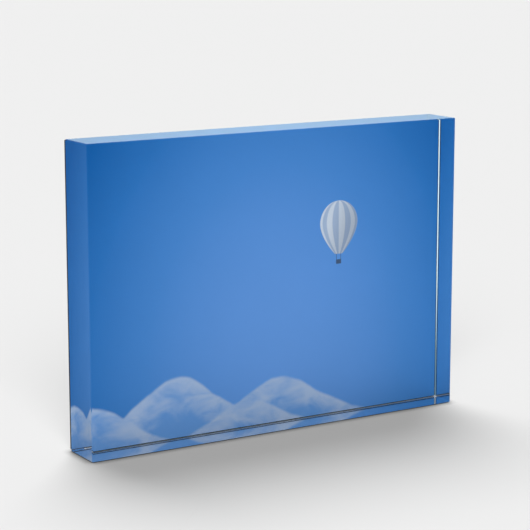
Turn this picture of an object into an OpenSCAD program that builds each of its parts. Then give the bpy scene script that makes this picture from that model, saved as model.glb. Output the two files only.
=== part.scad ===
// Photo block: a solid clear acrylic block that stands on its own lower face. The photo print is
// laminated to the back of the block, face forward, so it is seen through the acrylic, and a thin
// black backing sheet covers it behind.
//
// Millimetres. X runs along the width, Y from the viewer towards the back, and Z up. The origin
// is the middle of the footprint, on the surface that the block stands on.

/* [Acrylic block] */
// Width of the block, left to right
block_w = 177.8; // [100:0.1:260]
// Height of the block as it stands
block_h = 127; // [75:0.1:210]
// Thickness of the acrylic, from its front face to its back face
block_t = 19.05; // [12:0.05:30]
// Leg of the polished 45 degree bevel that runs along all twelve edges
edge_bevel = 0.3; // [0.2:0.05:2]

/* [Layers behind the block] */
// Thickness of the optically clear adhesive film that bonds the print to the acrylic
clear_adhesive_t = 0.1; // [0.05:0.01:0.3]
// Thickness of the resin coated photo paper
print_t = 0.25; // [0.15:0.01:0.6]
// Thickness of the black double sided film that bonds the backing to the print
backing_adhesive_t = 0.15; // [0.05:0.01:0.5]
// Thickness of the rigid black sheet that protects the print from behind
backing_t = 0.8; // [0.3:0.05:3]
// Bare acrylic between the bevels of the back face and the layers, which share one outline
layer_margin = 0.05; // [0:0.05:3]
// Radius of the corners of the layers
layer_corner_r = 0.5; // [0.1:0.1:6]

/* [Hidden] */

// Arcs are true circles in the finished solids at this setting
$fn = 48;

// Depth of the whole stack, which is centred on the origin
stack_t = block_t + clear_adhesive_t + print_t + backing_adhesive_t + backing_t;

// Front of each layer, in the order in which they are laid up
block_y = -stack_t / 2;
clear_adhesive_y = block_y + block_t;
print_y = clear_adhesive_y + clear_adhesive_t;
backing_adhesive_y = print_y + print_t;
backing_y = backing_adhesive_y + backing_adhesive_t;

// Distance from the outer edge of the block to the edge of the layers
layer_edge = edge_bevel + layer_margin;

// Rectangle w by h about the origin, with a 45 degree bevel of leg b on each corner
module bevelled_rectangle(w, h, b) {
    x = w / 2;
    y = h / 2;
    polygon([
        [-x + b, -y], [x - b, -y], [x, -y + b], [x, y - b],
        [x - b, y], [-x + b, y], [-x, y - b], [-x, -y + b],
    ]);
}

// Box w by t by h about the origin, bevelled along all twelve edges: what the three bevelled
// prisms along its axes have in common
module bevelled_box(w, t, h, b) {
    intersection() {
        linear_extrude(height = h, center = true)
            bevelled_rectangle(w, t, b);
        rotate([90, 0, 0])
            linear_extrude(height = t, center = true)
                bevelled_rectangle(w, h, b);
        rotate([90, 0, 90])
            linear_extrude(height = w, center = true)
                bevelled_rectangle(t, h, b);
    }
}

// Rectangle w by h about the origin, with corners of radius r
module rounded_rectangle(w, h, r) {
    for (side = [-1, 1], end = [-1, 1])
        translate([side * (w / 2 - r), end * (h / 2 - r)])
            circle(r);
    square([w - 2 * r, h], center = true);
    square([w, h - 2 * r], center = true);
}

// Upright layer of thickness t behind the block, with its front at y
module layer(y, t) {
    translate([0, y + t, block_h / 2])
        rotate([90, 0, 0])
            linear_extrude(height = t)
                rounded_rectangle(
                    block_w - 2 * layer_edge, block_h - 2 * layer_edge, layer_corner_r);
}

module acrylic_block() {
    color([0.85, 0.93, 0.98, 0.3])
        translate([0, block_y + block_t / 2, block_h / 2])
            bevelled_box(block_w, block_t, block_h, edge_bevel);
}

module clear_adhesive() {
    color([0.95, 0.97, 0.98, 0.3])
        layer(clear_adhesive_y, clear_adhesive_t);
}

module photo_print() {
    color("steelblue")
        layer(print_y, print_t);
}

module backing_adhesive() {
    color("black")
        layer(backing_adhesive_y, backing_adhesive_t);
}

module backing_sheet() {
    color("dimgray")
        layer(backing_y, backing_t);
}

acrylic_block();
clear_adhesive();
photo_print();
backing_adhesive();
backing_sheet();
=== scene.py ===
"""Looks of the acrylic photo block: a polished clear block with a print bonded to its back.

Metres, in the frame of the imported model: X along the width, Y from the viewer towards the back, Z up.
"""

import math

import bmesh
import bpy
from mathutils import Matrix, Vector


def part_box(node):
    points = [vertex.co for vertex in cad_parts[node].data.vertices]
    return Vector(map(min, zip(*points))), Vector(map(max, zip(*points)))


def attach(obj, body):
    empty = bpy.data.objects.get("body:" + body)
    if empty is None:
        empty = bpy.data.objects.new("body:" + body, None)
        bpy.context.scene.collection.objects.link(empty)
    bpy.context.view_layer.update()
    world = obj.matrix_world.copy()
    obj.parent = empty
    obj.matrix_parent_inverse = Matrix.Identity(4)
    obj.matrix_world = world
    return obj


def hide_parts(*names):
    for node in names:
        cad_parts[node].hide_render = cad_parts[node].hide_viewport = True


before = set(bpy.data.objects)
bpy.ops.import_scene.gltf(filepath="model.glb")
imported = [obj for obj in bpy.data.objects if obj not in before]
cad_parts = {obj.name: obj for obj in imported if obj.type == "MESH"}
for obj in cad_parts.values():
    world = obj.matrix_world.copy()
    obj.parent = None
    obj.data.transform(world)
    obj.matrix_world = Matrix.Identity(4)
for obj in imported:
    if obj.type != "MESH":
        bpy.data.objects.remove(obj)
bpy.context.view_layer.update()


def srgb(red, green, blue):
    """Linear colour of an 8 bit display colour."""
    def linear(value):
        share = value / 255
        return share / 12.92 if share <= 0.04045 else ((share + 0.055) / 1.055) ** 2.4
    return (linear(red), linear(green), linear(blue), 1)


def grey(level):
    return (level, level, level, 1)


def scaled(colour, share):
    """The colour made darker, or lighter, by the share."""
    return tuple(part * share for part in colour[:3]) + (1,)


MM = 0.001
BODY = "root"
WHITE = grey(1)
BLACK = grey(0)

# Camera, worked out from the corners and edges of the block in the photograph
IMAGE_PX = 530
FOCAL_PX = 1864.8
SENSOR_MM = 36
CAMERA_PLACE = Vector((-406.5, -651.2, 214.0)) * MM
CAMERA_AZIMUTH = math.radians(-31.85)
CAMERA_ELEVATION = math.radians(10.675)
CLIP_START = 0.01
CLIP_END = 100

# The block and its layers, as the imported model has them
BLOCK_LOW, BLOCK_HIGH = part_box("acrylic_block")
PRINT_LOW, PRINT_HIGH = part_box("photo_print")
EDGE_BEVEL = 0.3 * MM
# Slots of the three materials of the block: its cast faces, the bonded part of its back, its cut edges
FACE, BONDED, CUT = range(3)
# Cut edges have normals with less than this along Y
CUT_NORMAL = 0.1
BACKING_SOFTENING = 0.12 * MM
# Faces of the backing that meet at less than the flat angle are merged, and edges past the sharp
# angle are softened
FLAT_ANGLE = math.radians(1)
SHARP_ANGLE = math.radians(60)

# Clear acrylic
ACRYLIC_IOR = 1.49
# Share of the light that crosses one surface of the acrylic on its way to the floor or the print
ACRYLIC_PASSES = 0.93
WAVE_STRENGTH = 0.02
WAVE_DEPTH = 0.05 * MM
FACE_WAVES_PER_M = (300, 120, 300)
FACE_MOTTLE_PER_M = 30
FACE_TINTS = ((0.985, 0.993, 0.998, 1), (0.995, 0.998, 1, 1))
# Streaks on the polished edges: narrow across the thickness of the block, long along the edge
STREAKS_PER_M = (90, 600, 90)
STREAK_RANGE = (0.32, 0.52)
STREAK_TINT = (0.82, 0.92, 0.96, 1)
BOND_MOTTLE_PER_M = 40
BOND_TINT = (0.985, 0.99, 0.99, 1)

# Paper, film and backing sheet
PAPER_TONE = (0.85, 0.85, 0.84, 1)
PAPER_ROUGHNESS = 0.5
PAPER_GRAIN_PER_M = 3500
PAPER_GRAIN_SHARE = 0.06
# The print throws little light on the floor and none of its blue, so the shadow stays neutral
PRINT_BOUNCE = grey(0.02)
FILM_TONE = srgb(30, 31, 33)
FILM_ROUGHNESS = 0.45
BACKING_TONE = srgb(44, 45, 47)
BACKING_ROUGHNESS = 0.5
PLAIN_GRAIN_PER_M = 2500
PLAIN_GRAIN_SHADE = 0.96
PLAIN_GRAIN_STRENGTH = 0.1
PLAIN_GRAIN_DEPTH = 0.05 * MM

# Studio. The gap shows a fine strip of floor under the block, which painted contact shade turns into a
# dark line, and the same painted shade darkens the floor a little beside it
BACKGROUND = 0.871
FLOOR_GREY = 0.67
FLOOR_SIZE = 24
FLOOR_GAP = 0.3 * MM
CONTACT_SHADE_REACH = 4 * MM
CONTACT_SHADE_SAMPLES = 8
# The floor behind the block as its clear edges show it: a painted shadow close by, and a painted pale
# blue further off
BEHIND_SHADOW_TONE = (0.18, 0.31, 0.36, 1)
DISTANT_TONE = (0.70, 0.88, 0.94, 1)
BEHIND_START = 35 * MM
BEHIND_END = 260 * MM
BEHIND_MERGE = 4 * MM
# Light that mirror reflections pick up: little from the floor, a pale sky low down, a grey ceiling
MIRROR_FLOOR = 0.15
MIRROR_SKY = (0.62, 0.84, 1.0, 1)
CEILING = (0.3, 0.31, 0.33, 1)
CEILING_START = math.radians(9)
CEILING_END = math.radians(14)
# Far off the mirrored floor takes the tone of the low sky, so mirror reflections show no horizon
HORIZON_START = 1.5
HORIZON_END = 6
DOME_STRENGTH = 0.09
# Each lamp: name, strength, azimuth, elevation and width in degrees. Azimuth 0 is behind the block
# and 90 is to its right
LAMPS = (
    ("key", 2.79, 16, 55, 34),
    ("fill", 2.63, 212, 35, 40),
)

# Generic picture on the print: a clear sky, snowy hills along the bottom and a small balloon.
# Its sizes are millimetres on the face of the print, with X from the middle and Z from the base.
SKY_CENTRE = (6, 24)
SKY_REACH = (113, 154)
SKY_STOPS = (
    (0.0, srgb(102, 157, 231)),
    (0.33, srgb(73, 137, 212)),
    (0.67, srgb(44, 116, 192)),
    (1.0, srgb(16, 96, 172)),
)
# Each hill, from far to near: X of its middle, height, half width, roughness of its skyline, seed
HILLS = (
    (6, 20, 40, 2.4, 5.0),
    (-44, 26, 40, 2.8, 2.0),
    (-84, 19, 34, 2.2, 8.0),
    (-10, 12, 34, 1.6, 11.0),
)
HILL_FOOT = -10
HILL_STEEPNESS = 1.6
# Distance between the bumps of a skyline, and the depth below it where a hill is fully shaded
HILL_BUMP = 15
HILL_DEPTH = 15
HILL_LIT = srgb(172, 196, 232)
HILL_SHADE = srgb(104, 158, 226)
HILL_SHADE_RANGE = (-0.2, 1.2)
HOLLOWS_PER_M = (70, 1, 130)
HOLLOW_CONTRAST = 2.6
SKYLINE_SOFT = 0.9
BALLOON_PLACE = (36, 84)
BALLOON_RADIUS = 9.6
BALLOON_SKIRT = 13.5
BALLOON_MOUTH_SHARE = 0.2
BALLOON_TAPER = 1.7
BALLOON_LEAST_WIDTH = 0.1
BALLOON_GORES = 9
GORE_SOFT = 0.25
BALLOON_TONES = (srgb(166, 186, 216), srgb(205, 217, 233))
# The balloon is lit from its upper left: slope of the light, its gain and its least share
BALLOON_LIGHT = (0.4, 0.4, 0.66)
BALLOON_SHADE = (0.03, 0.06, 0.12, 1)
BASKET_SIZE = (2.6, 1.9)
BASKET_DROP = 3.4
BASKET_TONE = srgb(70, 92, 124)
ROPE_WIDTH = 0.22
ROPE_SOFT = 0.1
# Softness of a printed edge
INK_SOFT = 0.12
BORDER_WIDTH = 0.3
BORDER_TONE = srgb(24, 29, 36)


def add_camera():
    data = bpy.data.cameras.new("camera")
    data.sensor_width = SENSOR_MM
    data.lens = SENSOR_MM * FOCAL_PX / IMAGE_PX
    data.clip_start = CLIP_START
    data.clip_end = CLIP_END
    camera = bpy.data.objects.new("camera", data)
    camera.location = CAMERA_PLACE
    camera.rotation_euler = (math.radians(90) - CAMERA_ELEVATION, 0, CAMERA_AZIMUTH)
    bpy.context.scene.collection.objects.link(camera)
    bpy.context.scene.camera = camera


class Nodes:
    """Builds the node tree of a material, or of the world, in few words."""

    def __init__(self, name, owners="materials"):
        self.owner = getattr(bpy.data, owners).new(name)
        self.owner.use_nodes = True
        self.tree = self.owner.node_tree
        self.tree.nodes.clear()

    def add(self, kind, settings=(), **inputs):
        """A node with its settings, and its inputs joined to other outputs or set to values."""
        node = self.tree.nodes.new("ShaderNode" + kind)
        for key, value in dict(settings).items():
            setattr(node, key, value)
        for key, value in inputs.items():
            self.feed(node.inputs[key.replace("_", " ")], value)
        return node

    def feed(self, socket, value):
        if isinstance(value, bpy.types.NodeSocket):
            self.tree.links.new(value, socket)
        else:
            socket.default_value = value

    def math(self, operation, *values, clamp=False):
        node = self.tree.nodes.new("ShaderNodeMath")
        node.operation = operation
        node.use_clamp = clamp
        for socket, value in zip(node.inputs, values):
            self.feed(socket, value)
        return node.outputs[0]

    def step(self, value, start, end):
        """0 up to start and 1 from end, with a smooth turn between them."""
        node = self.add("MapRange", {"interpolation_type": "SMOOTHSTEP"})
        for key, given in (("Value", value), ("From Min", start), ("From Max", end)):
            self.feed(node.inputs[key], given)
        return node.outputs[0]

    def blend(self, share, first, second):
        """Colour that is first at a share of 0 and second at 1."""
        node = self.add("Mix", {"data_type": "RGBA"})
        # The colour sockets of this node share their names with those of its other data types
        self.feed(node.inputs[0], share)
        self.feed(node.inputs[6], first)
        self.feed(node.inputs[7], second)
        return node.outputs[2]

    def ramp(self, value, stops):
        node = self.add("ValToRGB", Fac=value)
        elements = node.color_ramp.elements
        while len(elements) < len(stops):
            elements.new(0.5)
        for element, (place, colour) in zip(elements, stops):
            element.position = place
            element.color = colour
        return node.outputs[0]

    def noise(self, vector, scale=1.0, detail=2.0, roughness=0.5, distortion=0.0):
        node = self.add("TexNoise", Vector=vector, Scale=scale, Detail=detail,
                        Roughness=roughness, Distortion=distortion)
        return node.outputs[0]

    def place(self):
        """Place on the object, in metres."""
        return self.add("TexCoord").outputs["Object"]

    def stretch(self, vector, x, y, z):
        node = self.add("Mapping", Vector=vector)
        node.inputs["Scale"].default_value = (x, y, z)
        return node.outputs[0]

    def mix(self, share, first, second):
        """Shader that is first at a share of 0 and second at 1."""
        node = self.add("MixShader")
        for socket, value in zip(node.inputs, (share, first, second)):
            self.feed(socket, value)
        return node.outputs[0]

    def output(self, shader, kind="OutputMaterial"):
        self.add(kind, Surface=shader)
        return self.owner


def lets_lamps_through(nodes, shader, clear):
    """Glass that lamps and scattered light cross in a straight line."""
    rays = nodes.add("LightPath").outputs
    for ray in ("Is Diffuse Ray", "Is Shadow Ray"):
        shader = nodes.mix(rays[ray], shader, clear)
    return shader


def clear_acrylic(nodes, tint, waves):
    """Clear polished acrylic of the given tint, its surface waved a little."""
    bump = nodes.add("Bump", Strength=WAVE_STRENGTH, Distance=WAVE_DEPTH, Height=waves)
    glass = nodes.add("BsdfPrincipled", Roughness=0.0, IOR=ACRYLIC_IOR, Base_Color=tint,
                      Transmission_Weight=1.0, Normal=bump.outputs[0])
    dimmed = nodes.blend(ACRYLIC_PASSES, BLACK, tint)
    clear = nodes.add("BsdfTransparent", Color=dimmed)
    return nodes.output(lets_lamps_through(nodes, glass.outputs[0], clear.outputs[0]))


def face_material():
    """The cast faces of the block, almost flawless."""
    nodes = Nodes("clear_acrylic")
    place = nodes.place()
    waves = nodes.noise(nodes.stretch(place, *FACE_WAVES_PER_M), detail=1.0)
    tint = nodes.blend(nodes.noise(place, FACE_MOTTLE_PER_M), *FACE_TINTS)
    return clear_acrylic(nodes, tint, waves)


def edge_material():
    """The cut edges of the block, with the faint streaks that polishing leaves along them."""
    nodes = Nodes("polished_edge")
    along = nodes.stretch(nodes.place(), *STREAKS_PER_M)
    streaks = nodes.noise(along, detail=3.0, roughness=0.6, distortion=0.4)
    tint = nodes.blend(nodes.step(streaks, *STREAK_RANGE), STREAK_TINT, WHITE)
    return clear_acrylic(nodes, tint, streaks)


def bonded_material(name):
    """Acrylic or optical adhesive where they are bonded: light crosses without bending."""
    nodes = Nodes(name)
    tint = nodes.blend(nodes.noise(nodes.place(), BOND_MOTTLE_PER_M), BOND_TINT, WHITE)
    clear = nodes.add("BsdfTransparent", Color=tint)
    return nodes.output(clear.outputs[0])


def sky(nodes, x, z):
    """Sky that darkens away from its lightest point."""
    reach = []
    for axis, middle, radius in zip((x, z), SKY_CENTRE, SKY_REACH):
        share = nodes.math("DIVIDE", nodes.math("SUBTRACT", axis, middle), radius)
        reach.append(nodes.math("MULTIPLY", share, share))
    return nodes.ramp(nodes.math("ADD", *reach), SKY_STOPS)


def hill(nodes, picture, place, x, z, values):
    """A broad snowy hill: pale along its skyline, and blue in its hollows and towards its foot."""
    middle, height, reach, rough, seed = values
    across = nodes.math("DIVIDE", nodes.math("SUBTRACT", x, middle), reach)
    squared = nodes.math("MULTIPLY", across, across)
    bell = nodes.math("DIVIDE", 1.0, nodes.math("MULTIPLY_ADD", squared, HILL_STEEPNESS, 1.0))
    along = nodes.add("CombineXYZ", X=nodes.math("DIVIDE", x, HILL_BUMP), Y=seed).outputs[0]
    uneven = nodes.math("SUBTRACT", nodes.noise(along, detail=4.0, roughness=0.45), 0.5)
    top = nodes.math("MULTIPLY_ADD", bell, height - HILL_FOOT, HILL_FOOT)
    top = nodes.math("MULTIPLY_ADD", uneven, 2 * rough, top)
    depth = nodes.math("SUBTRACT", top, z)
    hollows = nodes.stretch(place, *HOLLOWS_PER_M)
    hollows = nodes.noise(hollows, detail=4.0, roughness=0.55, distortion=0.5)
    hollows = nodes.math("SUBTRACT", hollows, 0.5)
    shade = nodes.math("MULTIPLY_ADD", hollows, HOLLOW_CONTRAST, nodes.math("DIVIDE", depth, HILL_DEPTH))
    tone = nodes.blend(nodes.step(shade, *HILL_SHADE_RANGE), HILL_LIT, HILL_SHADE)
    return nodes.blend(nodes.step(depth, -SKYLINE_SOFT, SKYLINE_SOFT), picture, tone)


def inside(nodes, distance, reach, soft=INK_SOFT):
    """1 where the distance is under the reach, and 0 past it, with a soft edge."""
    return nodes.step(nodes.math("SUBTRACT", reach, distance), -soft, soft)


def envelope(nodes, picture, dx, dz, across):
    """The balloon itself: a round crown over a tapering skirt, with striped gores."""
    high = nodes.math("DIVIDE", nodes.math("MAXIMUM", dz, 0.0), BALLOON_RADIUS, clamp=True)
    crown = nodes.math("SQRT", nodes.math("SUBTRACT", 1.0, nodes.math("MULTIPLY", high, high)))
    below = nodes.math("MAXIMUM", nodes.math("MULTIPLY", dz, -1.0), 0.0)
    low = nodes.math("DIVIDE", below, BALLOON_SKIRT)
    taper = nodes.math("MULTIPLY", nodes.math("POWER", low, BALLOON_TAPER), 1 - BALLOON_MOUTH_SHARE)
    width = nodes.math("MULTIPLY", nodes.math("SUBTRACT", crown, taper), BALLOON_RADIUS)
    shape = nodes.math("MULTIPLY", inside(nodes, across, width), nodes.math("LESS_THAN", low, 1.0))
    shape = nodes.math("MULTIPLY", shape, nodes.math("LESS_THAN", dz, BALLOON_RADIUS))
    turn = nodes.math("DIVIDE", dx, nodes.math("MAXIMUM", width, BALLOON_LEAST_WIDTH))
    turn = nodes.math("ARCSINE", turn)
    gore = nodes.math("SINE", nodes.math("MULTIPLY", turn, BALLOON_GORES))
    tone = nodes.blend(nodes.step(gore, -GORE_SOFT, GORE_SOFT), *BALLOON_TONES)
    slope, gain, least = BALLOON_LIGHT
    lit = nodes.math("SUBTRACT", nodes.math("MULTIPLY", dz, slope), dx)
    lit = nodes.step(lit, -BALLOON_RADIUS, BALLOON_RADIUS)
    tone = nodes.blend(nodes.math("MULTIPLY_ADD", lit, gain, least), BALLOON_SHADE, tone)
    return nodes.blend(shape, picture, tone)


def basket(nodes, picture, dz, across):
    """The basket of the balloon, on two ropes."""
    half_width, half_height = BASKET_SIZE[0] / 2, BASKET_SIZE[1] / 2
    hang = nodes.math("MULTIPLY_ADD", dz, -1.0, -BALLOON_SKIRT)
    sides = nodes.math("ABSOLUTE", nodes.math("SUBTRACT", across, half_width - ROPE_WIDTH))
    ropes = inside(nodes, sides, ROPE_WIDTH / 2, ROPE_SOFT)
    ropes = nodes.math("MULTIPLY", ropes, nodes.math("GREATER_THAN", hang, 0.0))
    ropes = nodes.math("MULTIPLY", ropes, nodes.math("LESS_THAN", hang, BASKET_DROP))
    beyond = nodes.math("ABSOLUTE", nodes.math("SUBTRACT", hang, BASKET_DROP))
    box = inside(nodes, across, half_width)
    box = nodes.math("MULTIPLY", box, inside(nodes, beyond, half_height))
    return nodes.blend(nodes.math("MAXIMUM", ropes, box), picture, BASKET_TONE)


def balloon(nodes, picture, x, z):
    """A small hot air balloon in the sky."""
    dx = nodes.math("SUBTRACT", x, BALLOON_PLACE[0])
    dz = nodes.math("SUBTRACT", z, BALLOON_PLACE[1])
    across = nodes.math("ABSOLUTE", dx)
    picture = envelope(nodes, picture, dx, dz, across)
    return basket(nodes, picture, dz, across)


def border(nodes, picture, x, z):
    """Fine dark border along the edges of the print."""
    half = (PRINT_HIGH - PRINT_LOW) / 2 / MM
    middle = (PRINT_HIGH + PRINT_LOW) / 2 / MM
    past = []
    for axis, centre, reach in ((x, middle.x, half.x), (z, middle.z, half.z)):
        away = nodes.math("ABSOLUTE", nodes.math("SUBTRACT", axis, centre))
        past.append(nodes.math("SUBTRACT", away, reach - BORDER_WIDTH))
    shape = nodes.math("GREATER_THAN", nodes.math("MAXIMUM", *past), 0.0)
    return nodes.blend(shape, picture, BORDER_TONE)


def print_material():
    """Photo paper: the picture on its front, and white paper on its edges and back."""
    nodes = Nodes("photo_paper")
    place = nodes.place()
    axes = nodes.add("SeparateXYZ", Vector=place).outputs
    x = nodes.math("DIVIDE", axes["X"], MM)
    z = nodes.math("DIVIDE", axes["Z"], MM)
    picture = sky(nodes, x, z)
    for values in HILLS:
        picture = hill(nodes, picture, place, x, z, values)
    picture = balloon(nodes, picture, x, z)
    picture = border(nodes, picture, x, z)
    grain = nodes.math("MULTIPLY", nodes.noise(place, PAPER_GRAIN_PER_M), PAPER_GRAIN_SHARE)
    picture = nodes.blend(grain, picture, BLACK)
    # The front is where the normal points towards the viewer
    facing = nodes.add("SeparateXYZ", Vector=nodes.add("NewGeometry").outputs["Normal"])
    front = nodes.math("LESS_THAN", facing.outputs["Y"], -0.5)
    colour = nodes.blend(front, PAPER_TONE, picture)
    paper = nodes.add("BsdfPrincipled", Roughness=PAPER_ROUGHNESS, Base_Color=colour,
                      Specular_IOR_Level=0.0)
    faint = nodes.add("BsdfDiffuse", Color=PRINT_BOUNCE)
    scattered = nodes.add("LightPath").outputs["Is Diffuse Ray"]
    return nodes.output(nodes.mix(scattered, paper.outputs[0], faint.outputs[0]))


def plain_material(name, colour, roughness):
    """Opaque material of one colour, with a fine grain."""
    nodes = Nodes(name)
    grain = nodes.noise(nodes.place(), PLAIN_GRAIN_PER_M, detail=3.0)
    shade = nodes.blend(grain, scaled(colour, PLAIN_GRAIN_SHADE), colour)
    bump = nodes.add("Bump", Strength=PLAIN_GRAIN_STRENGTH, Distance=PLAIN_GRAIN_DEPTH, Height=grain)
    body = nodes.add("BsdfPrincipled", Roughness=roughness, Base_Color=shade, Normal=bump.outputs[0])
    return nodes.output(body.outputs[0])


def add_piece(name, mesh, materials):
    """Object of the given name from a bmesh, which it frees."""
    data = bpy.data.meshes.new(name)
    mesh.to_mesh(data)
    mesh.free()
    for material in materials:
        data.materials.append(material)
    piece = bpy.data.objects.new(name, data)
    bpy.context.scene.collection.objects.link(piece)
    return piece


def add_block():
    """The polished block, with the part of its back face that the print is bonded to set apart."""
    mesh = bmesh.new()
    bmesh.ops.create_cube(mesh, size=1)
    size = BLOCK_HIGH - BLOCK_LOW
    middle = (BLOCK_HIGH + BLOCK_LOW) / 2
    for vertex in mesh.verts:
        vertex.co = Vector(a * b for a, b in zip(vertex.co, size)) + middle
    bmesh.ops.bevel(mesh, geom=mesh.edges[:], offset=EDGE_BEVEL, segments=1, affect="EDGES")
    back = max(mesh.faces, key=lambda face: face.calc_center_median().y)
    margin = PRINT_LOW.x - BLOCK_LOW.x - EDGE_BEVEL
    bmesh.ops.inset_region(mesh, faces=[back], thickness=margin)
    mesh.normal_update()
    for face in mesh.faces:
        face.material_index = CUT if abs(face.normal.y) < CUT_NORMAL else FACE
    back.material_index = BONDED
    materials = (face_material(), bonded_material("bonded_face"), edge_material())
    block = add_piece("polished_block", mesh, materials)
    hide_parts("acrylic_block")
    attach(block, BODY)


def add_backing():
    """The rigid backing sheet, with the edges of its front and back softened."""
    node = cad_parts["backing_sheet"]
    mesh = bmesh.new()
    mesh.from_mesh(node.data)
    mesh.transform(node.matrix_world)
    bmesh.ops.dissolve_limit(mesh, angle_limit=FLAT_ANGLE, verts=mesh.verts, edges=mesh.edges)
    rims = [edge for edge in mesh.edges if edge.calc_face_angle(0) > SHARP_ANGLE]
    bmesh.ops.bevel(mesh, geom=rims, offset=BACKING_SOFTENING, segments=2, affect="EDGES")
    material = plain_material("black_backing", BACKING_TONE, BACKING_ROUGHNESS)
    panel = add_piece("backing_panel", mesh, (material,))
    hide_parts("backing_sheet")
    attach(panel, BODY)


def dress(node, material):
    """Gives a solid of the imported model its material."""
    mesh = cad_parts[node].data
    mesh.materials.clear()
    mesh.materials.append(material)


def floor_material():
    """Floor with painted contact shade by the block, which mirror reflections and the clear edges of the
    block show in tones of their own, the edges with a painted shadow behind the block.
    """
    nodes = Nodes("floor")
    place = nodes.place()
    # Seen straight on: grey, with painted contact shade that darkens the floor's colour near and under
    # the block
    contact_shade = nodes.add("AmbientOcclusion", {"samples": CONTACT_SHADE_SAMPLES}, Distance=CONTACT_SHADE_REACH,
                       Color=grey(FLOOR_GREY))
    surface = nodes.add("BsdfDiffuse", Color=contact_shade.outputs["Color"]).outputs[0]

    away = nodes.add("VectorMath", {"operation": "LENGTH"}, Vector=place).outputs["Value"]
    far = nodes.step(away, HORIZON_START, HORIZON_END)
    low_sky = scaled(MIRROR_SKY, FLOOR_GREY / BACKGROUND)
    tone = nodes.blend(far, grey(FLOOR_GREY * MIRROR_FLOOR), low_sky)
    mirrored = nodes.add("BsdfDiffuse", Color=tone).outputs[0]

    # Distance behind the block, less the distance beside it, so the ends of the block see none of it
    axes = nodes.add("SeparateXYZ", Vector=place).outputs
    beside = nodes.math("SUBTRACT", nodes.math("ABSOLUTE", axes["X"]), BLOCK_HIGH.x)
    behind = nodes.math("SUBTRACT", axes["Y"], nodes.math("MAXIMUM", beside, 0.0))
    # Painted shadow on the floor behind the block, dim close by, fading to a painted pale blue further
    # off
    tone = nodes.blend(nodes.step(behind, BEHIND_START, BEHIND_END), BEHIND_SHADOW_TONE, DISTANT_TONE)
    past = nodes.step(behind, BLOCK_HIGH.y, BLOCK_HIGH.y + BEHIND_MERGE)
    tone = nodes.blend(past, contact_shade.outputs["Color"], tone)
    through = nodes.add("BsdfDiffuse", Color=tone).outputs[0]

    rays = nodes.add("LightPath").outputs
    seen = nodes.mix(rays["Is Glossy Ray"], surface, mirrored)
    seen = nodes.mix(rays["Is Transmission Ray"], seen, through)
    return nodes.output(seen)


def add_floor():
    mesh = bpy.data.meshes.new("floor")
    half = FLOOR_SIZE / 2
    corners = [(-half, -half), (half, -half), (half, half), (-half, half)]
    mesh.from_pydata([(x, y, -FLOOR_GAP) for x, y in corners], [], [(0, 1, 2, 3)])
    mesh.materials.append(floor_material())
    floor = bpy.data.objects.new("floor", mesh)
    bpy.context.scene.collection.objects.link(floor)


def add_lamp(name, strength, azimuth, elevation, width):
    """A wide soft lamp far away."""
    data = bpy.data.lights.new(name, "SUN")
    data.energy = strength
    data.angle = math.radians(width)
    lamp = bpy.data.objects.new(name, data)
    lamp.rotation_euler = (math.radians(90 - elevation), 0, math.radians(180 - azimuth))
    bpy.context.scene.collection.objects.link(lamp)


def add_surround():
    """Even light from all round, and what the eye, mirror reflections and clear pieces see."""
    nodes = Nodes("studio", "worlds")
    up = nodes.add("SeparateXYZ", Vector=nodes.add("TexCoord").outputs["Generated"]).outputs["Z"]
    above = nodes.step(up, math.sin(CEILING_START), math.sin(CEILING_END))
    backdrop = grey(BACKGROUND)
    rays = nodes.add("LightPath").outputs
    shader = nodes.add("Background", Strength=DOME_STRENGTH, Color=WHITE).outputs[0]
    # A ray through clear acrylic counts as glossy too, so transmission comes last
    for ray, colour in (
            ("Is Camera Ray", backdrop),
            ("Is Glossy Ray", nodes.blend(above, MIRROR_SKY, CEILING)),
            ("Is Transmission Ray", nodes.blend(above, backdrop, CEILING))):
        shader = nodes.mix(rays[ray], shader, nodes.add("Background", Color=colour).outputs[0])
    bpy.context.scene.world = nodes.output(shader, "OutputWorld")


add_camera()
add_block()
dress("clear_adhesive", bonded_material("optical_adhesive"))
dress("photo_print", print_material())
dress("backing_adhesive", plain_material("mounting_film", FILM_TONE, FILM_ROUGHNESS))
add_backing()
add_floor()
add_surround()
for lamp in LAMPS:
    add_lamp(*lamp)
bpy.context.scene.view_settings.view_transform = "Standard"
